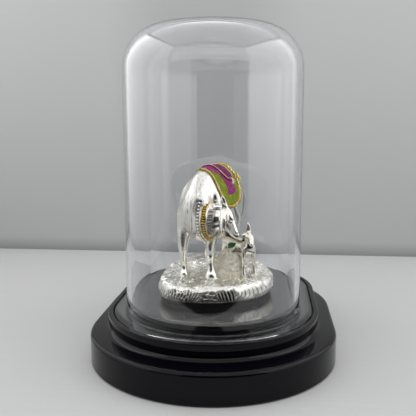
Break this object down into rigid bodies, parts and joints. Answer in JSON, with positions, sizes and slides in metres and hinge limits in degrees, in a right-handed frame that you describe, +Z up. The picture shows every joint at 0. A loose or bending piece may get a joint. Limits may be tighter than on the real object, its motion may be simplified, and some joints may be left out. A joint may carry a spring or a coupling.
{
  "type": "cow and calf statue",
  "caption": "Small silver cow licking her calf on a rock, with an enamelled saddle cloth, under a clear lift-off dome on a glossy black oval base.",
  "frame": {"origin": "centre of the underside of the base", "axes": "+Z up; the long axis of the oval base lies along Y; the cow faces -Y, and her calf stands on the +X side"},
  "size_m": [0.115, 0.1518, 0.1514],
  "materials": {
    "base_black": "polished black moulding",
    "pad_foam": "matt black foam",
    "silver": "bright silver plate, textured on the rock",
    "dome_clear": "clear polished acrylic",
    "cloth_green": "olive green enamel",
    "cloth_magenta": "glittery magenta enamel",
    "calf_green": "emerald green enamel",
    "gold": "bright gilt"
  },
  "bodies": {
    "root": {"base": "base_black", "rock_pad": "pad_foam", "cow_and_calf": "silver", "dome": "dome_clear"}
  },
  "joints": []
}
